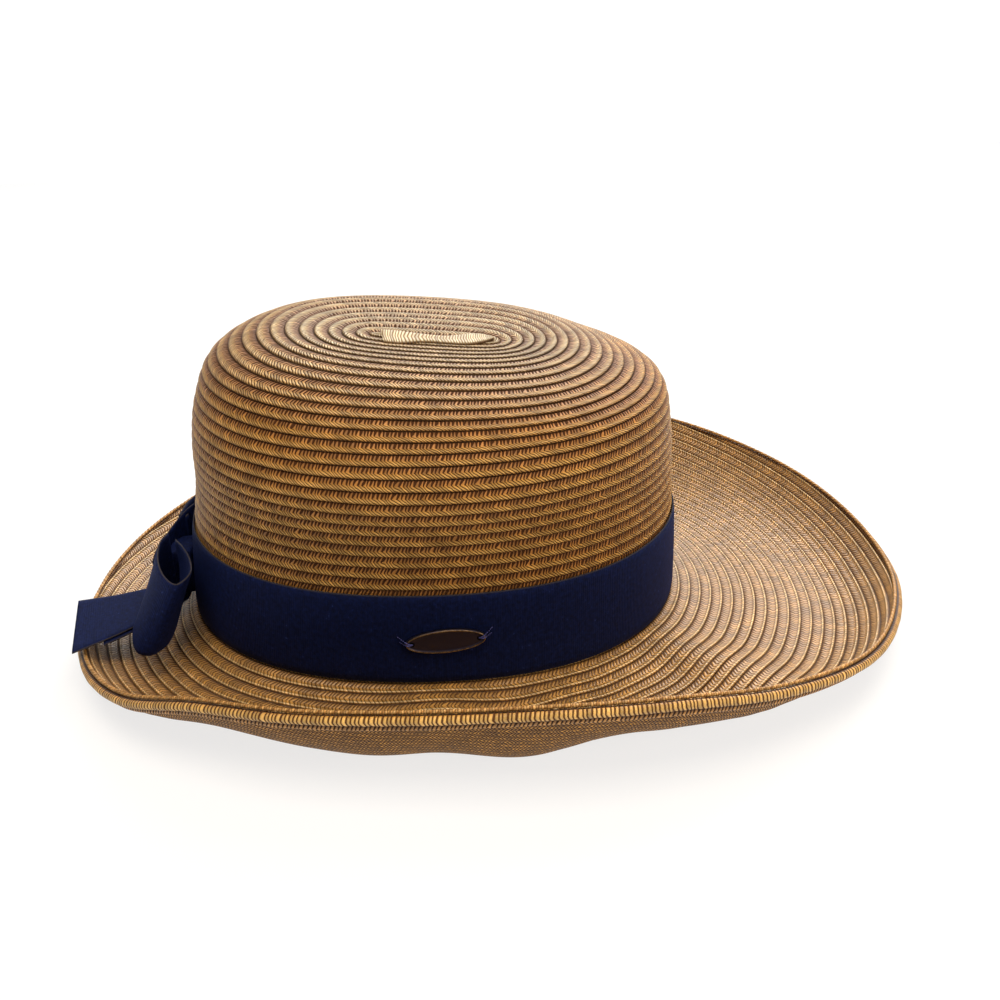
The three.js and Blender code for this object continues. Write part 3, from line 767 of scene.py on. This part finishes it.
# %% Twisted cords
def twisted_cord(name, path, radius, lay, steps_across, material, closed=True):
    """Two yarns twisted along a path of points. lay: the mm in which they turn once."""
    along = np.gradient(path, axis=0)
    if closed:
        along[0] = along[-1] = path[1] - path[-2]
    along = unit(along)
    side = unit(np.cross(along, [0, 0, 1.0]))
    top = np.cross(side, along)
    run = distances(path)
    turns = max(1, round(run[-1] / lay * 2)) / 2
    twist = (run / run[-1] * turns * math.tau)[:, None]
    around = np.arange(steps_across) / steps_across * math.tau
    reach = radius * (0.85 + 0.3 * np.abs(np.cos(around)))
    c, s = np.cos(around + twist) * reach, np.sin(around + twist) * reach
    points = path[:, None] + side[:, None] * c[..., None] + top[:, None] * s[..., None]
    uv = uv_grid(run[:, None], around / math.tau)
    return grid_piece(name, points, uv, [material], caps=not closed)


cord_straw = straw_material(
    "twisted_paper_straw_cord",
    stroke=0.9,
    leans=(0.0, 0.0),
    row_stops=[(0.0, "#8E5E26"), (0.12, "#C08A44"), (0.25, "#D8AC6A"), (0.38, "#C08A44"),
               (0.5, "#8E5E26"), (0.62, "#C08A44"), (0.75, "#D8AC6A"), (1.0, "#8E5E26")],
    gap_stops=[(0.0, 0.05), (1.0, 0.05)],
    # the gap colour is painted shade between straws
    gap_shade="#8C6132",
    bump=0.15,
)
cord_path = edge - inwards * 0.6 + up * 1.45  # on the roll's crest, a little outside the edge
rim_cord = twisted_cord("rim_cord", cord_path, 0.68, 5.2, 10, cord_straw)
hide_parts("edge_binding")

# %% Stitches in the groove below the roll
# where a stitch lies, its half length and radius, how far it is sunk, and how it slants outwards
STITCH = {"inside": 2.45, "below": 1.5, "half": 0.85, "radius": 0.4, "sunk": 0.1, "slant": 0.5}
RINGS, SIDES = 5, 6  # each stitch is a spindle of so many rings, with so many sides
stitch_count = round(length[-1] / STITCH_PITCH)
starts = np.arange(stitch_count) / stitch_count * length[-1]
middles = np.interp(starts, length, np.arange(len(length))).astype(int)
stitch_points, stitch_faces = [], []
for middle in middles:
    ahead = unit(edge[(middle + 2) % BINDING_COUNT] - edge[middle])
    where = edge[middle] + inwards[middle] * STITCH["inside"] - up[middle] * STITCH["below"]
    way = ahead - inwards[middle] * STITCH["slant"]
    first = len(stitch_points)
    for t in np.linspace(-1, 1, RINGS):
        size = STITCH["radius"] * math.sqrt(max(0.02, 1 - t * t))
        for turn in np.arange(SIDES) / SIDES * math.tau:
            lift = STITCH["sunk"] - math.sin(turn) * size
            offset = inwards[middle] * math.cos(turn) * size + up[middle] * lift
            stitch_points.append((where + way * t * STITCH["half"] + offset) * MM)
    for ring in range(RINGS - 1):
        for k in range(SIDES):
            a, b = first + ring * SIDES + k, first + ring * SIDES + (k + 1) % SIDES
            stitch_faces.append((a, b, b + SIDES, a + SIDES))
    stitch_faces.append(tuple(first + k for k in reversed(range(SIDES))))
    stitch_faces.append(tuple(first + (RINGS - 1) * SIDES + k for k in range(SIDES)))
thread, *_ = new_material("spun_polyester_thread_brown", roughness=0.7, colour="#3A220C")
stitch_mesh = plain_mesh("rim_stitches", stitch_points, stitch_faces)
rim_stitches = add_object("rim_stitches", stitch_mesh, [thread])
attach(rim_stitches, "root")
print("stitches round the rim:", stitch_count)

# %% [markdown]
# ## The ribbon
#
# Grosgrain is a ribbon with thick weft cords, so it shows fine ribs straight across its width. It
# is woven of matt polyester: nearly black navy where it turns from the light, and clearly blue
# where light grazes its ribs. Sheen on the shader gives that. Both edges end in a thin selvedge.

# %% Grosgrain
RIB = 0.9  # mm from one rib to the next
SLUB = 10 / 7  # mm between thick places in the weft
grosgrain, put, shader = new_material(
    "woven_polyester_grosgrain_navy", roughness=0.8, specular=0.12)
parts = put("SeparateXYZ", {0: put("UVMap", uv_map="straw")})
rib = put("Math", {0: parts.outputs[0], 1: math.tau / RIB}, operation="MULTIPLY")
wave = put("Math", {0: rib}, operation="SINE")
in_space = put("TexCoord").outputs["Object"]
slub = put("TexNoise", {0: in_space, "Scale": per_metre(SLUB), "Detail": 3.0})
relief = put("Math", {0: slub, 1: 1.2, 2: wave}, operation="MULTIPLY_ADD")
raised = put("Bump", {"Height": relief, "Distance": 0.035 * MM})
deep = put("ValToRGB", {0: slub}, stops=[(0.3, "#050D2C"), (0.7, "#0B1844"), (0.8, "#303E74")])
from_middle = put("Math", {0: parts.outputs[1], 1: 0.5}, operation="SUBTRACT")
aside = put("Math", {0: from_middle}, operation="ABSOLUTE")
selvedge = put("MapRange", {0: aside, 1: 0.485, 2: 0.5})
colour = put("Mix", {6: deep, 7: linear("#3A3638"), 0: selvedge}, data_type="RGBA")
fill(shader, {"Base Color": colour.outputs[2], "Normal": raised, "Sheen Weight": 0.06,
              "Sheen Roughness": 0.5, "Sheen Tint": linear("#4A68D8")})


# %% Ribbon from a grid
def ribbon_piece(name, sheet_points, node, closed=False):
    """A ribbon with thickness and soft edges. Its grid has i along it and j across it."""
    along = np.gradient(sheet_points, axis=0)
    if closed:
        along[0] = along[-1] = sheet_points[1] - sheet_points[-2]
    out = unit(np.cross(np.gradient(sheet_points, axis=1), along))
    across = sheet_points.shape[1]
    half = np.full(across, RIBBON / 2)
    half[0] = half[-1] = RIBBON * 0.2
    upper = sheet_points + out * half[:, None]
    lower = (sheet_points - out * half[:, None])[:, ::-1]
    points = np.concatenate([upper, lower], 1)
    run = distances(sheet_points[:, across // 2])
    v = np.linspace(0, 1, across)
    uv = uv_grid(run[:, None], np.concatenate([v, v[::-1]]))
    piece = grid_piece(name, points, uv, [grosgrain], caps=not closed)
    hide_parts(node)
    return piece


# %% The band round the crown
BAND_STEPS, BAND_LINES = 360, 13  # of its grid, round the hat and across the ribbon
BULGE = 0.25  # mm that the ribbon's middle stands out
rows = np.linspace(BAND_TOP_ROW, BAND_BOTTOM_ROW, BAND_LINES)
place = np.broadcast_to(rows * CROWN_LINES, (BAND_STEPS + 1, BAND_LINES))
bulge = BULGE * np.sin(np.linspace(0, math.pi, BAND_LINES))
band_points = crown_sheet(BAND_STEPS).at(place, GAP + RIBBON / 2 + bulge)
ribbon_piece("hat_band_ribbon", band_points, "hat_band", closed=True)

# %% [markdown]
# The bow's loops and tails span from one edge to another. Each edge is a smooth curve through a
# few points, the same as in the solids.

# %% Edges of the bow
NEAR_UPPER = [[-102.8, -25.3, 42], [-96.5, -36, 43.5], [-91, -47, 44], [-88, -58, 44],
              [-91.5, -64.5, 43], [-97.5, -59, 43.5], [-102.5, -49, 45], [-105.5, -36, 46],
              [-105.6, -25.3, 45]]
NEAR_LOWER = [[-103, -25.3, 17], [-103, -38, 13.5], [-102, -50, 12.8], [-102.5, -58, 12.5],
              [-107, -64, 12], [-113, -62, 13], [-117, -50, 15.8], [-114, -36, 16],
              [-106, -25.3, 16.5]]
FAR_UPPER = [[-103, -7.7, 44], [-102.4, 8, 43], [-98.8, 22, 42], [-97.2, 27.5, 41],
             [-98.6, 30.5, 41], [-102.2, 25, 42], [-106, 10, 43.5], [-105.8, -7.7, 44.5]]
FAR_LOWER = [[-103.4, -7.7, 17], [-105.2, 8, 12], [-102, 22, 11.5], [-101, 28, 11],
             [-103.4, 31, 10.5], [-107.6, 25, 10.5], [-110.5, 10, 11], [-106.2, -7.7, 17]]
TAIL_FAR = [[-103, -11, 14.7], [-119, -15.5, 14.9], [-132, -22, 15.5], [-146.5, -28.5, 17]]
TAIL_NEAR = [[-103, -23, 14.7], [-113, -40, 14.8], [-122, -52.6, 15.2], [-136.3, -64.8, 14.8]]


def between_edges(first, second, steps, spans, share=1.0):
    """A grid between two edges, with that many steps along them and spans across."""
    a, b = curve_through(first, steps, share), curve_through(second, steps, share)
    return a[:, None] + (b - a)[:, None] * np.linspace(0, 1, spans + 1)[:, None] + shift


# %% The loops and the tails
near_loop = between_edges(NEAR_UPPER, NEAR_LOWER, 96, 20)
ribbon_piece("bow_near_loop_ribbon", near_loop, "bow_loop_near")
far_loop = between_edges(FAR_UPPER, FAR_LOWER, 84, 20)
ribbon_piece("bow_far_loop_ribbon", far_loop, "bow_loop_far")
tail = between_edges(TAIL_FAR, TAIL_NEAR, 48, 20)
ribbon_piece("bow_upper_tail_ribbon", tail, "bow_tail_top")
# the under tail follows the upper one for part of its way, a ribbon's thickness lower
under = between_edges(TAIL_FAR, TAIL_NEAR, 48, 20, share=0.78) - [0, 1.5, RIBBON + GAP]
ribbon_piece("bow_under_tail_ribbon", under, "bow_tail_under")

# %% The knot
KNOT = {"x": -103.3, "y": -16.5, "middle": 26, "width": 17, "depth": 10, "height": 19}
KNOT_STEPS, KNOT_ROWS = 48, 25


def rounded(value):
    """Turns the sides of a circle into those of a box with round corners."""
    return np.sign(value) * np.abs(value) ** 0.4


around = np.arange(KNOT_STEPS + 1) / KNOT_STEPS * math.tau
knot_rows = np.linspace(-1, 1, KNOT_ROWS)[:, None]
outline_x = rounded(np.cos(around)) * KNOT["depth"] / 2
outline_y = rounded(np.sin(around)) * KNOT["width"] / 2
ends = 1 - 0.12 * np.abs(knot_rows) ** 6  # it draws in at its ends
gather = 1 + 0.04 * np.sin(knot_rows * 9)
folds = 1 + 0.03 * np.sin(around * 7)[None]
knot_points = np.stack(np.broadcast_arrays(
    KNOT["x"] + outline_x * ends * gather * folds,
    KNOT["y"] + outline_y * ends * folds,
    KNOT["middle"] + knot_rows * KNOT["height"] / 2,
), -1) + shift
knot_uv = uv_grid(knot_rows * 13.5, around / math.tau)
knot = grid_piece("bow_knot_core", knot_points, knot_uv, [grosgrain],
                  loop=False, caps=True)
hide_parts("bow_knot")

# %% The ribbon over the knot
# The short ribbon that ties the bow comes from behind the far loop and wraps over the top.
WRAP_UPPER = [[-99.5, 1, 47], [-103.5, -5, 45.5], [-108, -13, 41.5], [-111.8, -24, 37],
              [-112, -30, 35]]
WRAP_LOWER = [[-99.5, 0, 33], [-103.5, -6, 32], [-107.5, -14, 30], [-110.8, -24, 29],
              [-111, -30, 28]]
wrap = between_edges(WRAP_UPPER, WRAP_LOWER, 40, 12)
ribbon_piece("bow_knot_wrap", wrap, "bow_knot")

# %% [markdown]
# ## The oval plate
#
# The plate is stamped from brass sheet and given a dark antique finish, which is then rubbed off
# where it stands proud. So the raised rim is worn back to warm brass and the sunk field stays
# dark and a little rough. The metal keeps the shader's default IOR, and its colour does the rest.
# At each end a dark disc of painted shade stands for the pierced hole, and navy thread goes through
# it to tie the plate to the band.

# %% Antique brass
SCUFF = 10 / 9  # mm across a scuff
brass, put, shader = new_material("stamped_brass_antique", roughness=0.42, metallic=1.0)
parts = put("SeparateXYZ", {0: put("UVMap", uv_map="straw")})
in_space = put("TexCoord").outputs["Object"]
scuff = put("TexNoise",
            {0: in_space, "Scale": per_metre(SCUFF), "Detail": 5.0, "Roughness": 0.7})
worn = put("MapRange", {0: scuff, 1: 0.35, 2: 0.65, 3: -0.25, 4: 0.25})
rim = put("Math", {0: parts.outputs[1], 1: worn}, operation="ADD")
tone = put("ValToRGB", {0: rim}, stops=[(0.2, "#484458"), (0.6, "#54463C"), (0.95, "#A88C68")])
dull = put("MapRange", {0: scuff, 3: 0.55, 4: 0.32})
dents = put("Bump", {"Height": scuff, "Distance": 0.08 * MM, "Strength": 0.7})
fill(shader, {"Base Color": tone, "Roughness": dull, "Normal": dents})

# %% The plate, in its own frame, then placed on the band
PLATE = {"length": 29, "width": 9.5}
PLATE_PLACE = {"angle": -86.7, "row": 32, "turn": 4}  # degrees round, rows down, degrees of slant


def plate_frame():
    """The plate's middle on the band, and the ways along it, up it and out of it."""
    angle = np.radians([PLATE_PLACE["angle"]])
    row = np.array([float(PLATE_PLACE["row"])])
    a_little = 0.01  # in radians, and in rows
    at = crown_point(angle, row)[0]
    along = unit(crown_point(angle + a_little, row)[0] - at)
    out = unit(np.cross(along, unit(crown_point(angle, row - a_little)[0] - at)))
    up = np.cross(out, along)
    turn = math.radians(PLATE_PLACE["turn"])
    turned = along * math.cos(turn) + up * math.sin(turn)
    return at + out * (GAP + RIBBON + GAP) + shift, turned, np.cross(out, turned), out


plate_at, plate_along, plate_up, plate_out = plate_frame()
# mm in from the edge, height in mm, and how brightly the finish is worn
PLATE_SECTION = np.array([
    (0.0, 0.0, 0.1), (0.0, 0.9, 0.2), (0.12, 1.3, 0.55), (0.4, 1.5, 1.0), (0.7, 1.35, 0.6),
    (1.0, 1.05, 0.15), (1.6, 1.0, 0.1), (2.4, 1.02, 0.1), (3.4, 1.04, 0.1), (4.2, 1.05, 0.1),
])


def on_plate(along, up, off):
    """Points from their places along, up and off the plate, in mm."""
    along, up, off = (np.asarray(value)[..., None] for value in (along, up, off))
    return plate_at + plate_along * along + plate_up * up + plate_out * off


turns = (np.arange(97) / 96 * math.tau)[:, None]
inset, rise, bright = PLATE_SECTION.T
plate_points = on_plate(np.cos(turns) * (PLATE["length"] / 2 - inset),
                        np.sin(turns) * (PLATE["width"] / 2 - inset), rise)
plate = grid_piece("oval_plate_stamped", plate_points, uv_grid(turns, bright), [brass],
                   loop=False, caps=True)
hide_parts("oval_plate")

# %% The plate's holes, dark discs of painted shade, and the thread through them
HOLE_AT = PLATE["length"] / 2 - 2.4  # mm from the plate's middle
HOLE_RINGS = np.array([(1.0, 1.02), (0.92, 1.12), (0.7, 1.08)])  # radius, height
# strand, mm that it reaches past the plate, mm that it climbs
STRANDS = (("upper", 3.0, 3.0), ("lower", 2.4, 0.6))
# each hole is a dark disc laid on the plate, painted shade for its depth
dark, *_ = new_material("pierced_hole_painted_shade", roughness=0.9, specular=0.1, colour="#050508")
sewing, *_ = new_material("spun_polyester_thread_navy", roughness=0.7, colour="#4A4C8C")
round_hole = (np.arange(25) / 24 * math.tau)[:, None]
hole_radius, hole_rise = HOLE_RINGS.T
for side, end in (("left", -1), ("right", 1)):
    x = end * HOLE_AT + np.cos(round_hole) * hole_radius
    y = np.sin(round_hole) * hole_radius
    grid_piece("plate_hole_shade_" + side, on_plate(x, y, hole_rise), uv_grid(x, y), [dark],
               loop=False, caps=True)
    for strand, reach, climb in STRANDS:
        path = curve_through([
            on_plate(end * (HOLE_AT - 0.3), 0, 0.9),
            on_plate(end * (HOLE_AT + 0.8), climb * 0.2, 1.7),
            on_plate(end * (HOLE_AT + 2.2), climb * 0.5, 1.5),
            on_plate(end * (HOLE_AT + 2.4 + reach), climb, -1.3),
        ], 16)
        twisted_cord(f"plate_thread_{side}_{strand}", path, 0.22, 1.4, 8, sewing,
                     closed=False)

# %% [markdown]
# ## The stage, the light and the camera
#
# A pale floor runs back and curves up into a wall, so there is no horizon. Three soft boxes light
# the hat: a large one above and behind, which pales the tip of the crown, a warm one overhead, and
# a weak, warmer one at the near right. The camera stands at the near side, a little above the hat.

# %% The floor
# how far back each line of the floor lies, and how high, in metres
PROFILE = [(-3.0, 0.0), (1.6, 0.0), (2.2, 0.0), (2.7, 0.1), (3.05, 0.4), (3.2, 0.9), (3.2, 3.0)]
# name, colour, glow: the curve and the wall glow more, as if a lamp of their own lit them
PAPERS = (("white_background_paper", "#8C8C8C", 0.76),
          ("white_background_paper_lit", "#BEBEBE", 0.95))
papers = []
for name, colour, glow in PAPERS:
    paper, _, shader = new_material(name, roughness=0.9, specular=0.1, colour=colour)
    fill(shader, {"Emission Color": linear("#FFFFFF"), "Emission Strength": glow})
    papers.append(paper)
floor_points = [(x, y, z) for x in (-6.0, 6.0) for y, z in PROFILE]
steps = len(PROFILE)
floor_faces = [(k, k + steps, k + steps + 1, k + 1) for k in range(steps - 1)]
floor_mesh = plain_mesh("studio_floor", floor_points, floor_faces)
for face in floor_mesh.polygons[1:]:
    face.material_index = 1
floor = add_object("studio_floor", floor_mesh, papers)
floor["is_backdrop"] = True

# %% Light
world = bpy.data.worlds.new("studio")
world.use_nodes = True
fill(world.node_tree.nodes["Background"], {"Color": linear("#FFFFFF"), "Strength": 0.14})
bpy.context.scene.world = world
LIT_PLACE = Vector((0, 0, 0.05))  # in metres, as the lamps' places and sizes


def soft_box(name, place, size, power, colour="#FFFFFF"):
    """A rectangular lamp, turned to the lit place. Its power is in watts."""
    lamp = bpy.data.lights.new(name, "AREA")
    lamp.shape = "RECTANGLE"
    lamp.size, lamp.size_y = size
    lamp.energy = power
    lamp.color = linear(colour)[:3]
    holder = add_object(name, lamp)
    holder.location = place
    holder.rotation_euler = (LIT_PLACE - Vector(place)).to_track_quat("-Z", "Y").to_euler()


soft_box("key_above_behind", (0.5, 1.15, 1.05), (1.6, 1.1), 28)
soft_box("overhead", (0, -0.3, 1.3), (1.1, 0.9), 15, "#FFF2E0")
soft_box("fill_front", (1.15, -0.85, 0.75), (0.8, 0.6), 8, "#FFEED8")

# %% Camera
AIM = np.array([29.4, 8, 38]) + shift  # in mm
DISTANCE, LENS = 440, 36.2  # in mm
ELEVATION, ROLL = 25, 2.4  # in degrees
rise = math.radians(ELEVATION)
aim = Vector(AIM * MM)
back = Vector((0, -math.cos(rise), math.sin(rise)))
lens = bpy.data.cameras.new("camera")
lens.lens = LENS
lens.sensor_width = 36
lens.clip_start, lens.clip_end = 0.01, 50
camera = add_object("camera", lens)
camera.rotation_mode = "QUATERNION"
camera.location = aim + back * DISTANCE * MM
roll = Quaternion((0, 0, 1), math.radians(-ROLL))
camera.rotation_quaternion = (-back).to_track_quat("-Z", "Y") @ roll
bpy.context.scene.camera = camera
bpy.context.scene.view_settings.view_transform = "Standard"
